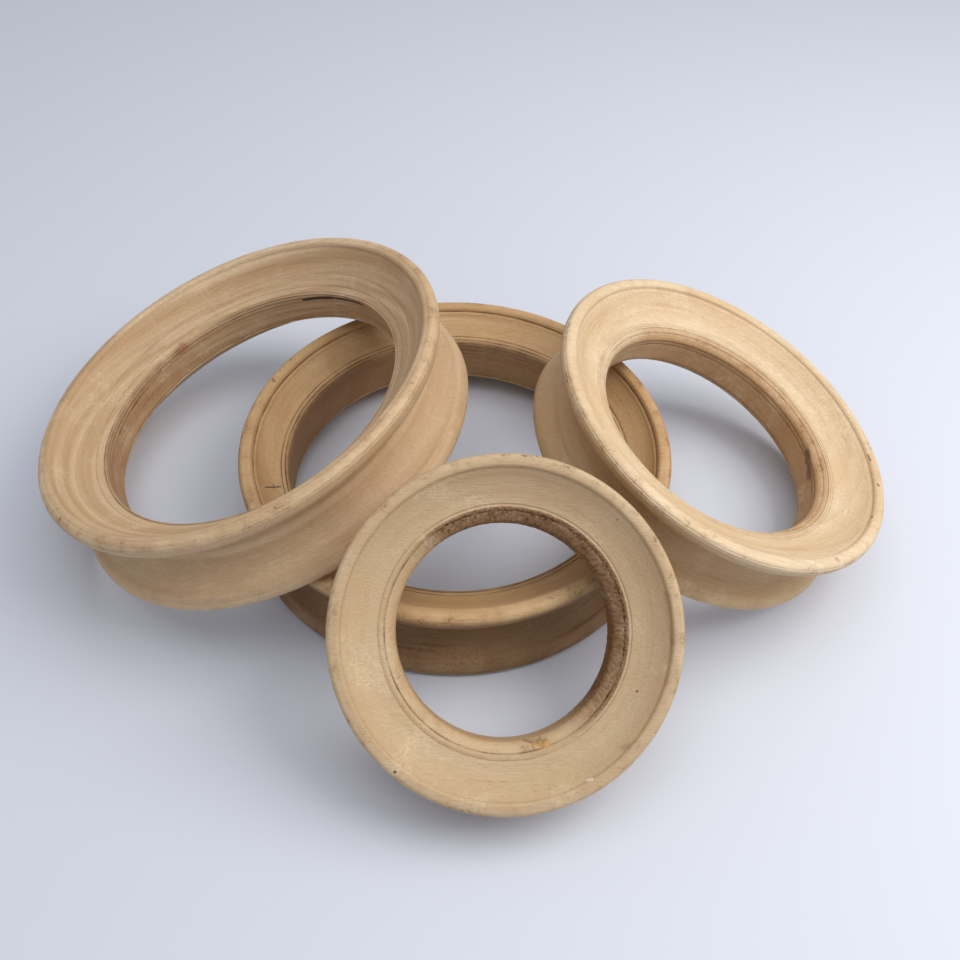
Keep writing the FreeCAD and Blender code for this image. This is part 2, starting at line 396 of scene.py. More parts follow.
def ease(tree, value, low, high, to_low=0.0, to_high=1.0):
    """A soft step: to_low at low, to_high at high."""
    settings = {"Value": value, "From Min": low, "From Max": high, "To Min": to_low, "To Max": to_high}
    return lay(tree, "ShaderNodeMapRange", settings, interpolation_type="SMOOTHSTEP").outputs[0]


def noise(tree, vector, scale, detail=2.0, rough=0.5, **settings):
    inputs = {"Vector": vector, "Scale": scale, "Detail": detail, "Roughness": rough}
    return lay(tree, "ShaderNodeTexNoise", inputs, **settings).outputs[0]


def new_tree(name, kind, inputs, outputs):
    """A node group with named inputs and outputs, and its two end nodes."""
    tree = bpy.data.node_groups.new(name, kind)
    for label, socket_type, value in inputs:
        socket = tree.interface.new_socket(name=label, in_out="INPUT", socket_type=socket_type)
        if value is not None:
            socket.default_value = value
    for label, socket_type in outputs:
        tree.interface.new_socket(name=label, in_out="OUTPUT", socket_type=socket_type)
    return tree, lay(tree, "NodeGroupInput").outputs, lay(tree, "NodeGroupOutput").inputs


print("helpers ready")

# %% [markdown]
# ## The lathe
# - On one chosen side of each ring, the side away from the light, the steep walls tear more and are marked for a
#   darker brown that is partly torn grain and partly painted shade.
# The section is swept round a circle with Curve to Mesh, which joins both ways round, so the ring has no seam to
# merge. The sweep's own twist doesn't matter: every point is then put where its section point and its share of
# the turn say. While the ring is still upright on its axis, in bench coordinates, three things happen to it.
#
# - It warps inwards a little, as dry wood does, and never outwards, so neighbours stay clear.
# - The throat and other steep walls tear where the fibres are cut across, which is at the two ends of the grain.
# - Chips and nicks are pressed in. They are lines in a second mesh, and depth fades with distance from the line.
#
# The upright coordinates are stored as an attribute, so that grain follows each ring's own blank and not the room.

# %% Build the lathe tree
FLOAT, INT, VECTOR, GEOMETRY = "NodeSocketFloat", "NodeSocketInt", "NodeSocketVector", "NodeSocketGeometry"
lathe, into, out = new_tree(
    "lathe", "GeometryNodeTree",
    [("Section", GEOMETRY, None), ("Steps round", INT, 720), ("Place", VECTOR, None),
     ("Turn", "NodeSocketRotation", None), ("Warp", FLOAT, 0.0003), ("Torn", FLOAT, 0.0005),
     ("Seed", FLOAT, 0.0), ("Rough side", VECTOR, (0, 0, 0)), ("Pitted", FLOAT, 0.3),
     ("Nicks", "NodeSocketObject", None), ("Wood", "NodeSocketMaterial", None)],
    [("Ring", GEOMETRY)],
)


def read(tree, name, kind="FLOAT"):
    return lay(tree, "GeometryNodeInputNamedAttribute", {"Name": name}, data_type=kind).outputs[0]


def store(tree, geometry, name, value, kind="FLOAT"):
    inputs = {"Geometry": geometry, "Name": name, "Value": value}
    return lay(tree, "GeometryNodeStoreNamedAttribute", inputs, data_type=kind, domain="POINT").outputs[0]


profile = lay(lathe, "GeometryNodeMeshToCurve", {0: into["Section"]}).outputs[0]
circle = lay(lathe, "GeometryNodeCurvePrimitiveCircle", {"Resolution": into["Steps round"]}).outputs[0]
circle = store(lathe, circle, "turned", lay(lathe, "GeometryNodeSplineParameter").outputs["Factor"])
ring = lay(lathe, "GeometryNodeCurveToMesh", {"Curve": circle, "Profile Curve": profile}).outputs[0]
ring = lay(lathe, "GeometryNodeFlipFaces", {0: ring}).outputs[0]

angle = maths(lathe, "MULTIPLY", read(lathe, "turned"), 2 * math.pi)
reach = read(lathe, "reach")
upright = lay(lathe, "ShaderNodeCombineXYZ", {
    0: maths(lathe, "MULTIPLY", reach, maths(lathe, "COSINE", angle)),
    1: maths(lathe, "MULTIPLY", reach, maths(lathe, "SINE", angle)),
    2: read(lathe, "rise"),
}).outputs[0]
ring = lay(lathe, "GeometryNodeSetPosition", {"Geometry": ring, "Position": upright}).outputs[0]
ring = store(lathe, ring, "bench", lay(lathe, "GeometryNodeInputPosition").outputs[0], "FLOAT_VECTOR")
normal = lay(lathe, "GeometryNodeInputNormal").outputs["Normal"]
facing = lay(lathe, "ShaderNodeSeparateXYZ", {0: normal}).outputs[0]
ring = store(lathe, ring, "end", maths(lathe, "ABSOLUTE", facing))

# %% Warp, torn grain and nicks
bench = read(lathe, "bench", "FLOAT_VECTOR")
seeded = vectors(lathe, "ADD", bench, lay(lathe, "ShaderNodeCombineXYZ", {0: into["Seed"]}).outputs[0])
warp = maths(lathe, "MULTIPLY", noise(lathe, seeded, 9, 1), into["Warp"])
zone = read(lathe, "zone")
wall = ease(lathe, zone, 0.55, 0.8)
cut_across = ease(lathe, read(lathe, "end"), 0.35, 0.95)
rough_fibres = ease(lathe, noise(lathe, vectors(lathe, "MULTIPLY", seeded, (620, 900, 900)), 1, 1), 0.46, 0.66)
patches = ease(lathe, noise(lathe, seeded, 26, 2), 0.42, 0.6)
way_round = vectors(lathe, "NORMALIZE", vectors(lathe, "MULTIPLY", bench, (1, 1, 0)))
# One chosen side of each ring, the side away from the light, tears more and is marked for a darker brown that is
# partly painted shade.
rough_and_shaded_side = ease(lathe, vectors(lathe, "DOT_PRODUCT", way_round, into["Rough side"]), -0.35, 0.35)
ring = store(lathe, ring, "rough", maths(lathe, "MULTIPLY", rough_and_shaded_side, wall))
patches = maths(lathe, "MAXIMUM", maths(lathe, "MULTIPLY", patches, cut_across), rough_and_shaded_side)
torn = maths(lathe, "MULTIPLY", maths(lathe, "MULTIPLY", rough_fibres, patches),
             maths(lathe, "MULTIPLY", wall, into["Pitted"]))
ring = store(lathe, ring, "torn", torn)
lines = lay(
    lathe, "GeometryNodeObjectInfo", {"Object": into["Nicks"]}, transform_space="ORIGINAL",
).outputs["Geometry"]
gap = lay(
    lathe, "GeometryNodeProximity", {0: lines, "Sample Position": bench}, target_element="EDGES",
).outputs["Distance"]
nearest = lay(lathe, "GeometryNodeSampleNearest", {"Geometry": lines, "Sample Position": bench}).outputs[0]


def of_nearest(name):
    inputs = {"Geometry": lines, "Value": read(lathe, name), "Index": nearest}
    return lay(lathe, "GeometryNodeSampleIndex", inputs).outputs[0]


dent = ease(lathe, maths(lathe, "DIVIDE", gap, of_nearest("width")), 1.0, 0.15)
ring = store(lathe, ring, "nick", maths(lathe, "MULTIPLY", dent, of_nearest("dark")))
depth = maths(lathe, "MULTIPLY", dent, of_nearest("depth"))
depth = maths(lathe, "ADD", depth, maths(lathe, "MULTIPLY_ADD", read(lathe, "torn"), into["Torn"], warp))
sunk = vectors(lathe, "SCALE", lay(lathe, "GeometryNodeInputNormal").outputs["Normal"],
               maths(lathe, "MULTIPLY", depth, -1))
ring = lay(lathe, "GeometryNodeSetPosition", {"Geometry": ring, "Offset": sunk}).outputs[0]
ring = lay(
    lathe, "GeometryNodeTransform", {"Geometry": ring, "Translation": into["Place"], "Rotation": into["Turn"]},
).outputs[0]
ring = lay(lathe, "GeometryNodeSetShadeSmooth", {0: ring}).outputs[0]
ring = lay(lathe, "GeometryNodeRealizeInstances", {0: ring}).outputs[0]
ring = lay(lathe, "GeometryNodeSetMaterial", {"Geometry": ring, "Material": into["Wood"]}).outputs[0]
lathe.links.new(ring, out["Ring"])
print("lathe tree:", len(lathe.nodes), "nodes")

# %% [markdown]
# ## Wood, in three shared effects
# Raw turned wood is many small things at once. Three shader groups hold them, and each ring's own material gives
# them its values: the growth layers and fibres of the blank, the fine lines that the tool left, and the dirt,
# wear and pin holes of handling, with painted shade in one groove. Groups put out only masks, so that each wood
# keeps its own colours.
#
# Growth layers are nearly round sheets about the pith, the middle of the tree. The blank is a slab from beside
# it, with the fibres along X, so a layer is all the points at one distance from a line along X.

# %% Growth layers and fibres
growth, into, out = new_tree(
    "growth", "ShaderNodeTree",
    [("Bench", VECTOR, None), ("Pith", VECTOR, (0, 0, -0.2)), ("Layer", FLOAT, 0.006), ("Wander", FLOAT, 0.006),
     ("Seed", VECTOR, (0, 0, 0))],
    [("Band", FLOAT), ("Line", FLOAT), ("Fibre", FLOAT), ("Pores", FLOAT), ("Cloud", FLOAT)],
)
place = vectors(growth, "ADD", into["Bench"], into["Seed"])
slow = noise(growth, vectors(growth, "MULTIPLY", place, (0.45, 1, 1)), 9, 2)
from_pith = vectors(growth, "MULTIPLY", vectors(growth, "SUBTRACT", into["Bench"], into["Pith"]), (0, 1, 1))
age = maths(growth, "ADD", vectors(growth, "LENGTH", from_pith),
            maths(growth, "MULTIPLY", maths(growth, "SUBTRACT", slow, 0.5), into["Wander"]))
years = maths(growth, "DIVIDE", age, into["Layer"])
wide = lay(
    growth, "ShaderNodeTexNoise", {"W": maths(growth, "MULTIPLY", years, 0.45), "Scale": 1, "Detail": 2},
    noise_dimensions="1D",
).outputs[0]
growth.links.new(ease(growth, wide, 0.32, 0.68), out["Band"])
season = maths(growth, "FRACT", years)
growth.links.new(maths(growth, "POWER", season, 4), out["Line"])
fine = noise(growth, vectors(growth, "MULTIPLY", place, (40, 900, 900)), 1, 3, 0.6)
growth.links.new(ease(growth, fine, 0.3, 0.7), out["Fibre"])
pores = noise(growth, vectors(growth, "MULTIPLY", place, (180, 2600, 2600)), 1, 1)
growth.links.new(ease(growth, pores, 0.64, 0.74), out["Pores"])
growth.links.new(
    ease(growth, noise(growth, vectors(growth, "MULTIPLY", place, (0.6, 1, 1)), 26, 3, 0.55), 0.35, 0.7),
    out["Cloud"],
)
print("growth:", len(growth.nodes), "nodes")

# %% [markdown]
# A turning tool leaves lines that run right round and hardly change on the way, while they change fast across.
# So the pattern reads the distance run along the section, with only a trace of where round the ring it is.

# %% Turning marks
turning, into, out = new_tree(
    "turning", "ShaderNodeTree",
    [("Bench", VECTOR, None), ("Run", FLOAT, 0), ("Spacing", FLOAT, 0.0012)],
    [("Ridge", FLOAT), ("Stripe", FLOAT)],
)
round_way = vectors(turning, "NORMALIZE", vectors(turning, "MULTIPLY", into["Bench"], (1, 1, 0)))
across = maths(turning, "DIVIDE", into["Run"], into["Spacing"])
swept = lay(turning, "ShaderNodeCombineXYZ", {2: across}).outputs[0]
swept = vectors(turning, "ADD", vectors(turning, "SCALE", round_way, 1.3), swept)
turning.links.new(noise(turning, swept, 1, 3, 0.6), out["Ridge"])
broad = vectors(turning, "ADD", vectors(turning, "SCALE", round_way, 0.9), lay(
    turning, "ShaderNodeCombineXYZ", {2: maths(turning, "MULTIPLY", across, 0.22)}).outputs[0])
turning.links.new(ease(turning, noise(turning, broad, 1, 3, 0.65), 0.5, 0.72), out["Stripe"])
print("turning:", len(turning.nodes), "nodes")

# %% [markdown]
# Dirt settles in grooves and torn grain, and hands rub edges. Each mask is broken up by noise, because nothing
# on used wood is even. Pin holes are cells of a Voronoi pattern, most of them switched off by a random choice.

# %% Dirt, painted shade in one groove, wear and pin holes
handling, into, out = new_tree(
    "handling", "ShaderNodeTree",
    [("Bench", VECTOR, None), ("Groove", FLOAT, 0), ("Exposed", FLOAT, 0), ("Torn", FLOAT, 0), ("Amount", FLOAT, 1),
     ("Seed", VECTOR, (0, 0, 0))],
    [("Dirt", FLOAT), ("Wear", FLOAT), ("Pins", FLOAT), ("Stain", FLOAT), ("Specks", FLOAT), ("Dust", FLOAT)],
)
place = vectors(handling, "ADD", into["Bench"], into["Seed"])
broken = noise(handling, place, 70, 4, 0.65)
speckled = noise(handling, place, 520, 2, 0.6)
# Groove colour: dirt, and in the left ring's groove under the rim painted shade.
settled_dirt_and_shade = maths(handling, "MULTIPLY", into["Groove"], ease(handling, broken, 0.34, 0.62, 0.35, 1.0))
settled_dirt_and_shade = maths(handling, "ADD", settled_dirt_and_shade, maths(handling, "MULTIPLY", into["Torn"], 0.6))
grime = maths(handling, "MULTIPLY", into["Exposed"], maths(
    handling, "MULTIPLY", ease(handling, broken, 0.5, 0.7), ease(handling, speckled, 0.45, 0.65)))
settled_dirt_and_shade = maths(handling, "ADD", settled_dirt_and_shade, maths(handling, "MULTIPLY", grime, 0.8))
handling.links.new(maths(handling, "MULTIPLY", settled_dirt_and_shade, into["Amount"], clamp=True), out["Dirt"])
handling.links.new(maths(handling, "MULTIPLY", into["Exposed"], ease(handling, broken, 0.62, 0.36)), out["Wear"])
holes = lay(handling, "ShaderNodeTexVoronoi", {"Vector": place, "Scale": 38, "Randomness": 1}, feature="F1")
lucky = ease(handling, lay(handling, "ShaderNodeSeparateColor", {0: holes.outputs["Color"]}).outputs[0], 0.86, 0.88)
size = ease(handling, holes.outputs["Distance"], 0.030, 0.014)
handling.links.new(maths(handling, "MULTIPLY", lucky, size), out["Pins"])
handling.links.new(ease(handling, noise(handling, place, 17, 3, 0.6), 0.54, 0.76), out["Stain"])
dots = noise(handling, vectors(handling, "MULTIPLY", place, (700, 1300, 1300)), 1, 2, 0.6)
dots = maths(handling, "MULTIPLY", ease(handling, dots, 0.62, 0.72), ease(handling, broken, 0.40, 0.62))
handling.links.new(dots, out["Specks"])
handling.links.new(
    maths(handling, "MULTIPLY", ease(handling, noise(handling, place, 30, 4, 0.65), 0.5, 0.72),
          ease(handling, speckled, 0.35, 0.6)),
    out["Dust"],
)
print("handling:", len(handling.nodes), "nodes")

# %% [markdown]
# A scratch, a crack or a burn is one mark in one place. This group gives the mask of a line between two points,
# or of a spot where the two are the same, with an edge that wanders.

# %% A single mark
single, into, out = new_tree(
    "single mark", "ShaderNodeTree",
    [("Bench", VECTOR, None), ("Start", VECTOR, None), ("End", VECTOR, None), ("Width", FLOAT, 0.001),
     ("Ragged", FLOAT, 0.0006)],
    [("Mask", FLOAT)],
)
wobble = lay(single, "ShaderNodeTexNoise", {"Vector": into["Bench"], "Scale": 260, "Detail": 2}).outputs["Color"]
wobble = vectors(single, "SCALE", vectors(single, "SUBTRACT", wobble, (0.5, 0.5, 0.5)), into["Ragged"])
place = vectors(single, "ADD", into["Bench"], wobble)
line = vectors(single, "SUBTRACT", into["End"], into["Start"])
away = vectors(single, "SUBTRACT", place, into["Start"])
share = maths(single, "DIVIDE", vectors(single, "DOT_PRODUCT", away, line),
              vectors(single, "DOT_PRODUCT", line, line), clamp=True)
distance = vectors(single, "LENGTH", vectors(single, "SUBTRACT", away, vectors(single, "SCALE", line, share)))
single.links.new(ease(single, maths(single, "DIVIDE", distance, into["Width"]), 1.0, 0.35), out["Mask"])
print("single mark:", len(single.nodes), "nodes")

# %% [markdown]
# ## Four woods from one recipe
# The rings come from different blanks of the same pale timber. The recipe lays colours over each other in the
# order in which they happened: the growth layers, the fibres and pores, the darker end grain, then the brown of
# the throat, stains, dirt, wear and single marks. Among them it also paints shade: on the side of the throat away
# from the light, with its torn grain, on the waist and undersides, with darker wood on the base ring, and in the
# left ring's groove under the rim.


# %% The recipe
def srgb(r, g, b):
    """A colour as it is seen, 0 to 255, made linear."""
    channels = (c / 255 for c in (r, g, b))
    return tuple(c / 12.92 if c <= 0.04045 else ((c + 0.055) / 1.055) ** 2.4 for c in channels) + (1.0,)


def blend(tree, factor, under, over, way="MIX"):
    node = lay(tree, "ShaderNodeMix", {0: factor, 6: under, 7: over}, data_type="RGBA", blend_type=way)
    return node.outputs[2]


def use(tree, group, **inputs):
    node = tree.nodes.new("ShaderNodeGroup")
    node.node_tree = group
    for name, value in inputs.items():
        if isinstance(value, bpy.types.NodeSocket):
            tree.links.new(value, node.inputs[name])
        else:
            node.inputs[name].default_value = value
    return node.outputs


def on_ring(angle, radius, height):
    """A place on a ring from degrees round it, and millimetres out and up, in bench coordinates."""
    turn = math.radians(angle)
    return (radius * math.cos(turn) * MM, radius * math.sin(turn) * MM, height * MM)


def make_wood(name, w):
    material = bpy.data.materials.new(name)
    material.use_nodes = True
    tree = material.node_tree
    shader = tree.nodes["Principled BSDF"]

    def attribute(label, output="Fac"):
        return lay(tree, "ShaderNodeAttribute", attribute_name=label).outputs[output]

    bench = attribute("bench", "Vector")
    zone, end = attribute("zone"), attribute("end")
    layers = use(tree, growth, Bench=bench, Pith=w["pith"], Layer=w["layer"], Wander=w["wander"], Seed=w["seed"])
    tool = use(tree, turning, Bench=bench, Run=attribute("run"), Spacing=w["spacing"])
    use_marks = use(tree, handling, Bench=bench, Groove=attribute("groove"), Exposed=attribute("exposed"),
                    Torn=attribute("torn"), Amount=w["dirt_and_shade_amount"], Seed=w["seed"])

    band = maths(tree, "MULTIPLY", layers["Band"], w["band"])
    colour = blend(tree, band, w["pale"], w["tan"])
    colour = blend(tree, maths(tree, "MULTIPLY", layers["Line"], w["line"]), colour, w["late"])
    colour = blend(tree, maths(tree, "MULTIPLY", layers["Cloud"], w["cloud"]), colour, w["cloud_colour"])
    colour = blend(tree, maths(tree, "MULTIPLY", tool["Stripe"], w["stripe"]), colour, w["late"])
    grain = maths(tree, "MULTIPLY", layers["Fibre"], 0.36)
    colour = blend(tree, grain, colour, w["fibre"])
    colour = blend(tree, maths(tree, "MULTIPLY", layers["Pores"], 0.45), colour, w["late"])
    steep = ease(tree, end, 0.30, 0.95)
    colour = blend(tree, maths(tree, "MULTIPLY", steep, w["end"]), colour, w["end_colour"])
    inner = ease(tree, zone, 0.6, 0.9)
    inner = maths(tree, "MULTIPLY", inner, ease(tree, layers["Cloud"], 0.0, 1.0, 0.55, 1.0))
    colour = blend(tree, maths(tree, "MULTIPLY", inner, w["throat"]), colour, w["throat_colour"])
    # Painted shade with torn grain: the chosen side of the throat, away from the light, is made darker brown.
    colour = blend(tree, maths(tree, "MULTIPLY", attribute("rough"), w["rough"]), colour, w["rough_and_shade_colour"])
    # Painted shade on the waist and undersides, streaked by the turning stripes; on the base ring also darker wood.
    outer = maths(tree, "MULTIPLY", attribute("outside"), ease(tree, tool["Stripe"], 0.0, 1.0, 0.75, 1.0))
    colour = blend(tree, maths(tree, "MULTIPLY", outer, w["outer"]), colour, w["outer_tone_and_shade_colour"])
    colour = blend(tree, maths(tree, "MULTIPLY", use_marks["Stain"], w["stain"]), colour, w["stain_colour"])
    colour = blend(tree, maths(tree, "MULTIPLY", use_marks["Dust"], w["dust"]), colour, w["worn"])
    colour = blend(tree, maths(tree, "MULTIPLY", use_marks["Specks"], w["specks"]), colour, w["dirt_and_shade_colour"])
    colour = blend(tree, maths(tree, "MULTIPLY", use_marks["Wear"], 0.22), colour, w["worn"])
    # Dirt, and painted shade in the left ring's groove under the rim.
    colour = blend(tree, use_marks["Dirt"], colour, w["dirt_and_shade_colour"])
    colour = blend(tree, use_marks["Pins"], colour, w["dark"])
    colour = blend(tree, attribute("nick"), colour, w["dark"])
    for start, finish, width, ragged, strength, shade in w["marks"]:
        mask = use(tree, single, Bench=bench, Start=start, End=finish, Width=width * MM, Ragged=ragged * MM)["Mask"]
        colour = blend(tree, maths(tree, "MULTIPLY", mask, strength), colour, shade)
    tree.links.new(colour, shader.inputs["Base Color"])

    dull = maths(tree, "MULTIPLY_ADD", layers["Fibre"], 0.12, 0.56)
    dull = maths(tree, "ADD", dull, maths(tree, "MULTIPLY", use_marks["Dirt"], 0.2))
    tree.links.new(
        maths(tree, "SUBTRACT", dull, maths(tree, "MULTIPLY", use_marks["Wear"], 0.10)), shader.inputs["Roughness"])
    relief = maths(tree, "MULTIPLY", tool["Ridge"], 0.55)
    relief = maths(tree, "MULTIPLY_ADD", layers["Fibre"], 0.30, relief)
    relief = maths(tree, "SUBTRACT", relief, maths(tree, "MULTIPLY", layers["Pores"], 0.25))
    bump = lay(tree, "ShaderNodeBump", {"Height": relief, "Strength": w["bump"], "Distance": 0.0005})
    tree.links.new(bump.outputs[0], shader.inputs["Normal"])
    return material


# %% The values for each ring
# Painted shade in these values: the rough colour on the side of the throat away from the light, with torn grain; the
# outer colour on the waist and undersides, with darker wood on the base ring; the dirt colour in the left ring's
# groove under the rim.
WOODS = {
    "base_shell": dict(
        pale=srgb(202, 168, 122), tan=srgb(180, 141, 94), late=srgb(150, 106, 60), cloud_colour=srgb(190, 148, 98),
        fibre=srgb(168, 124, 76), end_colour=srgb(158, 116, 70), throat_colour=srgb(146, 100, 56),
        stain_colour=srgb(140, 96, 52), rough_and_shade_colour=srgb(96, 62, 32), outer_tone_and_shade_colour=srgb(92, 56, 24),
        worn=srgb(222, 194, 150), dirt_and_shade_colour=srgb(70, 45, 24), dark=srgb(45, 28, 18),
        pith=(0, 0.08, -0.80), layer=0.0055, wander=0.008, seed=(3.1, 1.7, 0.4), spacing=0.0013,
        band=0.6, line=0.25, cloud=0.35, stripe=0.30, end=0.55, throat=0.5, rough=0.3, outer=0.85,
        stain=0.3, dirt_and_shade_amount=0.95, dust=0.15, specks=0.35, bump=0.75,
        marks=[
            (on_ring(-163, 134.0, 25.5), on_ring(-164.0, 124.0, 20.5), 0.9, 0.5, 0.9, srgb(60, 36, 20)),
            (on_ring(-163, 128.5, 23.0), on_ring(-164.5, 128.0, 22.5), 0.8, 0.6, 0.6, srgb(80, 52, 30)),
            (on_ring(-61.0, 132.5, -8.0), on_ring(-61.0, 132.5, -8.0), 1.0, 0.5, 0.9, srgb(226, 214, 190)),
            (on_ring(153.0, 145.5, 33.5), on_ring(153.0, 145.5, 33.5), 1.1, 0.6, 0.8, srgb(66, 42, 24)),
        ],
    ),
    "left_shell": dict(
        pale=srgb(216, 190, 154), tan=srgb(180, 144, 102), late=srgb(150, 110, 70), cloud_colour=srgb(196, 160, 116),
        fibre=srgb(172, 132, 88), end_colour=srgb(170, 130, 88), throat_colour=srgb(156, 108, 60),
        stain_colour=srgb(144, 102, 58), rough_and_shade_colour=srgb(130, 84, 44), outer_tone_and_shade_colour=srgb(206, 172, 132),
        worn=srgb(228, 204, 164), dirt_and_shade_colour=srgb(78, 50, 28), dark=srgb(40, 25, 16),
        pith=(0, -0.08, -1.30), layer=0.0050, wander=0.008, seed=(0.6, 4.2, 1.9), spacing=0.0015,
        band=0.85, line=0.25, cloud=0.25, stripe=0.40, end=0.3, throat=0.35, rough=0.25, outer=0.35,
        stain=0.2, dirt_and_shade_amount=0.8, dust=0.35, specks=0.30, bump=0.75,
        marks=[
            (on_ring(76, 108.5, 5.0), on_ring(60.5, 109.0, 6.0), 1.7, 0.5, 0.95, srgb(48, 26, 16)),
            (on_ring(60.5, 109.0, 6.0), on_ring(44, 108.5, 7.0), 1.6, 0.5, 0.95, srgb(48, 26, 16)),
            (on_ring(130, 108.5, 9.0), on_ring(132, 108.0, 7.0), 5.0, 2.0, 0.5, srgb(146, 86, 50)),
            (on_ring(176, 108.0, 3.0), on_ring(160, 108.0, 3.5), 1.4, 0.6, 0.6, srgb(96, 60, 32)),
            (on_ring(160, 108.0, 3.5), on_ring(143, 108.0, 5.0), 1.2, 0.6, 0.5, srgb(96, 60, 32)),
        ],
    ),
    "right_shell": dict(
        pale=srgb(222, 200, 166), tan=srgb(204, 174, 130), late=srgb(170, 130, 84), cloud_colour=srgb(206, 168, 118),
        fibre=srgb(190, 150, 102), end_colour=srgb(176, 136, 88), throat_colour=srgb(148, 100, 56),
        stain_colour=srgb(160, 106, 50), rough_and_shade_colour=srgb(176, 124, 68), outer_tone_and_shade_colour=srgb(172, 134, 88),
        worn=srgb(232, 212, 176), dirt_and_shade_colour=srgb(76, 50, 28), dark=srgb(38, 24, 16),
        pith=(0, 0.10, -0.70), layer=0.0065, wander=0.012, seed=(2.4, 0.3, 3.3), spacing=0.0012,
        band=0.6, line=0.2, cloud=0.35, stripe=0.4, end=0.3, throat=0.35, rough=0.5, outer=0.6,
        stain=0.35, dirt_and_shade_amount=0.85, dust=0.40, specks=0.45, bump=0.75,
        marks=[
            (on_ring(8, 84.0, 8.0), on_ring(-6, 84.0, 2.5), 3.6, 4.0, 0.6, srgb(84, 54, 30)),
            (on_ring(22, 109.0, 23.0), on_ring(9, 109.5, 23.0), 0.7, 0.6, 0.5, srgb(150, 104, 60)),
            (on_ring(25, 105.5, 21.0), on_ring(14, 106.5, 21.5), 0.6, 0.6, 0.45, srgb(150, 104, 60)),
            (on_ring(1.0, 117.0, 30.0), on_ring(-1.5, 117.5, 30.0), 1.0, 0.6, 0.8, srgb(96, 64, 36)),
            (on_ring(-12.5, 119.0, 30.5), on_ring(-13.0, 119.5, 30.5), 1.3, 0.6, 0.85, srgb(84, 56, 32)),
            (on_ring(-29.5, 116.5, 29.5), on_ring(-30.0, 117.0, 29.5), 1.0, 0.6, 0.8, srgb(96, 64, 36)),
        ],
    ),
    "front_shell": dict(
        pale=srgb(196, 170, 134), tan=srgb(182, 152, 113), late=srgb(158, 120, 78), cloud_colour=srgb(184, 150, 108),
        fibre=srgb(180, 144, 100), end_colour=srgb(172, 134, 90), throat_colour=srgb(176, 134, 84),
        stain_colour=srgb(156, 112, 64), rough_and_shade_colour=srgb(120, 78, 36), outer_tone_and_shade_colour=srgb(178, 142, 98),
        worn=srgb(228, 206, 170), dirt_and_shade_colour=srgb(84, 52, 22), dark=srgb(36, 22, 14),
        pith=(0, 0.02, -1.20), layer=0.0090, wander=0.008, seed=(5.2, 2.8, 0.9), spacing=0.0011,
        band=0.4, line=0.12, cloud=0.3, stripe=0.2, end=0.25, throat=0.5, rough=0.85, outer=0.4,
        stain=0.25, dirt_and_shade_amount=0.9, dust=0.40, specks=0.35, bump=0.75,
        marks=[
            (on_ring(-128.5, 99.0, 23.5), on_ring(-128.5, 99.0, 23.5), 1.2, 0.5, 0.9, srgb(54, 34, 22)),
            (on_ring(-23.5, 83.0, 14.0), on_ring(-23.5, 83.0, 14.0), 1.1, 0.5, 0.85, srgb(84, 56, 34)),
            (on_ring(46, 91.0, 18.5), on_ring(46, 91.0, 18.5), 1.0, 0.5, 0.8, srgb(96, 66, 40)),
            (on_ring(32.5, 100.0, 23.5), on_ring(32.0, 100.0, 23.5), 1.0, 0.5, 0.7, srgb(96, 66, 40)),
            (on_ring(-59.0, 94.5, 22.0), on_ring(-60.5, 93.5, 22.0), 1.3, 2.4, 0.8, srgb(240, 230, 208)),
            (on_ring(-42.0, 93.5, 21.0), on_ring(-43.5, 92.0, 20.5), 2.6, 1.6, 0.35, srgb(120, 96, 72)),
            (on_ring(14, 94.0, 22.0), on_ring(-2, 94.5, 22.5), 3.4, 2.2, 0.28, srgb(120, 90, 60)),
            (on_ring(-2, 94.5, 22.5), on_ring(-17, 95.0, 23.0), 2.8, 2.2, 0.22, srgb(120, 90, 60)),
            (on_ring(-79, 64.5, 3.5), on_ring(-72.5, 67.0, 6.5), 1.6, 0.8, 0.9, srgb(50, 30, 18)),
            (on_ring(-74, 66.5, 7.0), on_ring(-68, 69.0, 8.5), 3.2, 1.6, 0.6, srgb(196, 146, 74)),
        ],
    ),
}
woods = {node: make_wood(node.replace("shell", "turned_wood"), values) for node, values in WOODS.items()}
print("woods:", {m.name: len(m.node_tree.nodes) for m in woods.values()})

# %% [markdown]
# ## Nicks, and turning the rings
# The nicks of a ring are a small mesh of lines with a width, a depth and a darkness at each point. The section is
# a small mesh too, a closed line that carries its attributes. The lathe turns one into the other's shape, and the
# result is taken out as a plain mesh, so that nothing is left to calculate.


# %% Line meshes
def line_object(name, points, edges, attributes):
    mesh = bpy.data.meshes.new(name)
    mesh.from_pydata([tuple(p) for p in points], edges, [])
    for label, values in attributes.items():
        layer = mesh.attributes.new(label, "FLOAT", "POINT")
        layer.data.foreach_set("value", np.asarray(values, dtype=np.float32))
    item = bpy.data.objects.new(name, mesh)
    bpy.context.collection.objects.link(item)
    return item


NICK_POINTS = 7


def nick_lines(node):
    """The ring's nicks as one mesh of short lines. A far-off line stands for none."""
    points, edges, width, depth, dark = [], [], [], [], []
    for start, finish, wide, deep, shade in NICKS[node] or [((0, 0, 9), (0, 0, 9.01), 1, 0, 0)]:
        first = len(points)
        start, finish = np.array(start), np.array(finish)
        for k in range(NICK_POINTS):
            points.append(start + (finish - start) * k / (NICK_POINTS - 1))
            taper = math.sin(math.pi * (k + 0.8) / (NICK_POINTS + 0.6))
            width.append(wide * MM * (0.4 + 0.6 * taper))
            depth.append(deep * MM * taper)
            dark.append(shade)
            if k:
                edges.append((first + k - 1, first + k))
    return line_object(node + "_nicks", points, edges, dict(width=width, depth=depth, dark=dark))


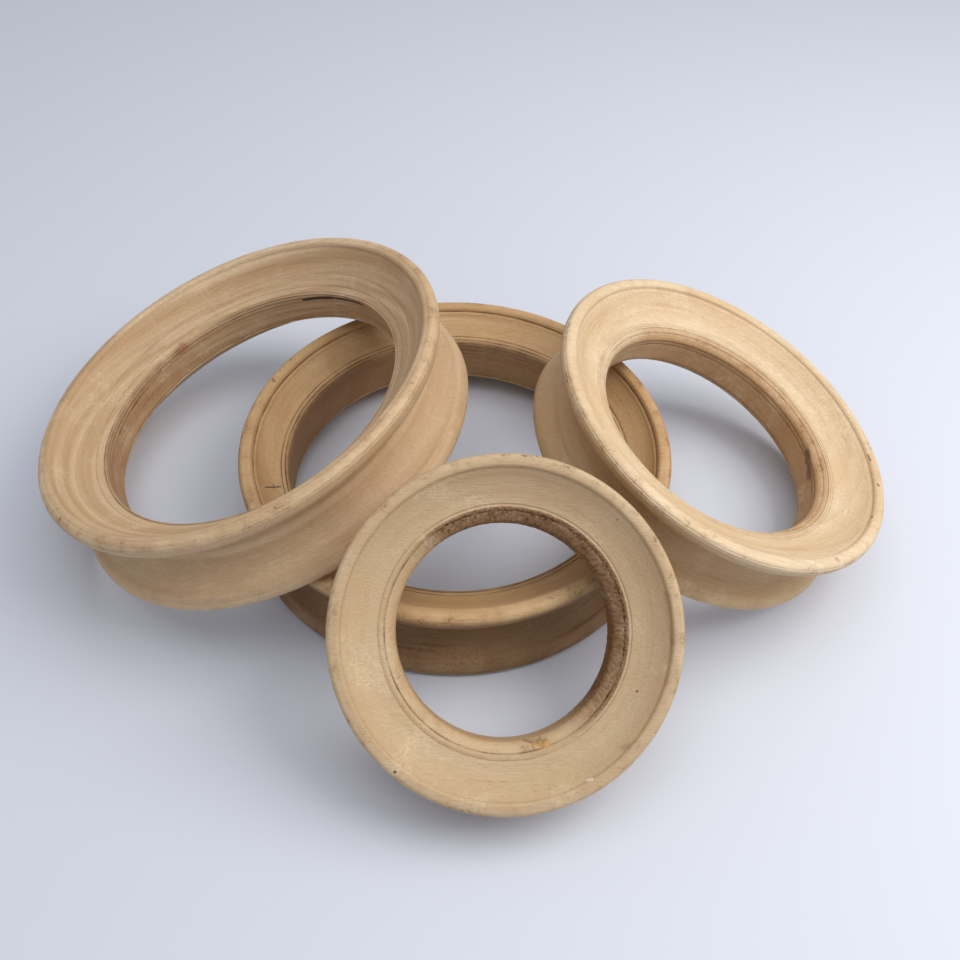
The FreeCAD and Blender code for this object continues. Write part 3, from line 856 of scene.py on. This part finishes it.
# Each nick: from, to, half-width and depth in millimetres, and how dark.
NICKS = {
    "base_shell": [
        (on_ring(156.5, 146.5, 33.0), on_ring(157.5, 143.0, 33.5), 1.6, 1.0, 0.8),
        (on_ring(-118, 149.0, 31.0), on_ring(-116.5, 149.5, 28.0), 1.6, 0.7, 0.2),
    ],
    "left_shell": [
        (on_ring(74, 107.5, 5.0), on_ring(61, 107.5, 6.0), 1.7, 1.6, 0.9),
        (on_ring(61, 107.5, 6.0), on_ring(46, 107.5, 7.0), 1.5, 1.4, 0.9),
    ],
    "right_shell": [
        (on_ring(-61, 122.0, 30.5), on_ring(-62.5, 119.0, 30.5), 1.5, 0.7, 0.5),
        (on_ring(8, 83.5, 6.0), on_ring(2, 83.5, 2.0), 2.2, 0.9, 0.4),
    ],
    "front_shell": [
        (on_ring(-79, 64.0, 3.0), on_ring(-68.5, 66.5, 7.5), 2.4, 2.2, 0.45),
        (on_ring(-74, 66.0, 7.0), on_ring(-70.5, 69.0, 9.0), 1.8, 1.2, 0.2),
    ],
}
PITTED = {"base_shell": 0.3, "left_shell": 0.2, "right_shell": 0.25, "front_shell": 1.0}
# The side of each ring, in bench coordinates, where the throat tears more and is coloured darker brown, partly as
# painted shade.
ROUGH_AND_SHADED_SIDE = {
    "base_shell": (0.0, 0.0, 0.0), "left_shell": (-0.3, -0.2, 0.0),
    "right_shell": (0.7, 0.3, 0.0), "front_shell": (0.75, 0.75, 0.0),
}
print("nicks:", {node: len(items) for node, items in NICKS.items()})


# %% Turn a ring
MOST_STEPS, MOST_FACES = 760, 98000
WARP_DEPTH, TORN_DEPTH = 0.0002, 0.0006
SEED_STEP = 1.7


def turn_ring(node, index):
    places, grooves, exposed, zones, outside, run = outlines[node]
    count = len(places)
    flat = [(r * MM, 0.0, h * MM) for r, h in places]
    section = line_object(node + "_section", flat, [(k, (k + 1) % count) for k in range(count)], dict(
        reach=places[:, 0] * MM, rise=places[:, 1] * MM, groove=grooves, exposed=exposed, zone=zones,
        outside=outside, run=run * MM))
    nicks = nick_lines(node)
    modifier = section.modifiers.new("lathe", "NODES")
    modifier.node_group = lathe
    placement = measured[node]["placement"]
    values = {
        "Steps round": min(MOST_STEPS, MOST_FACES // count),
        "Place": placement.to_translation(), "Turn": placement.to_euler(),
        "Warp": WARP_DEPTH, "Torn": TORN_DEPTH, "Seed": SEED_STEP * index, "Rough side": ROUGH_AND_SHADED_SIDE[node],
        "Pitted": PITTED[node], "Nicks": nicks, "Wood": woods[node],
    }
    for socket in lathe.interface.items_tree:
        if socket.name in values:
            modifier[socket.identifier] = values[socket.name]
    graph = bpy.context.evaluated_depsgraph_get()
    mesh = bpy.data.meshes.new_from_object(
        section.evaluated_get(graph), preserve_all_data_layers=True, depsgraph=graph)
    for helper in (section, nicks):
        bpy.data.objects.remove(helper)
    mesh.name = node.replace("shell", "ring")
    ring = bpy.data.objects.new(mesh.name, mesh)
    bpy.context.collection.objects.link(ring)
    return ring


rings = {}
for index, node in enumerate(SHELLS):
    ring = rings[node] = turn_ring(node, index)
    volume, *_ = solid_moments(ring.data)
    reference, *_ = solid_moments(frame["nodes"][node].data)
    print(ring.name, len(ring.data.polygons), "faces, volume %.1f of %.1f cm3" % (volume * 1e6, reference * 1e6))

# %% [markdown]
# ## Put each ring in the place of its plain shell
# Each finished ring moves with its shell's body and stands for the plain shell, which is hidden.

# %% Ride and replace
body_of = {node: body for body, nodes in frame["record"]["behaviour"]["bodies"].items() for node in nodes}
for node, ring in rings.items():
    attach(ring, body_of[node])
    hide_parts(node)
    print(ring.name, "rides on", body_of[node])
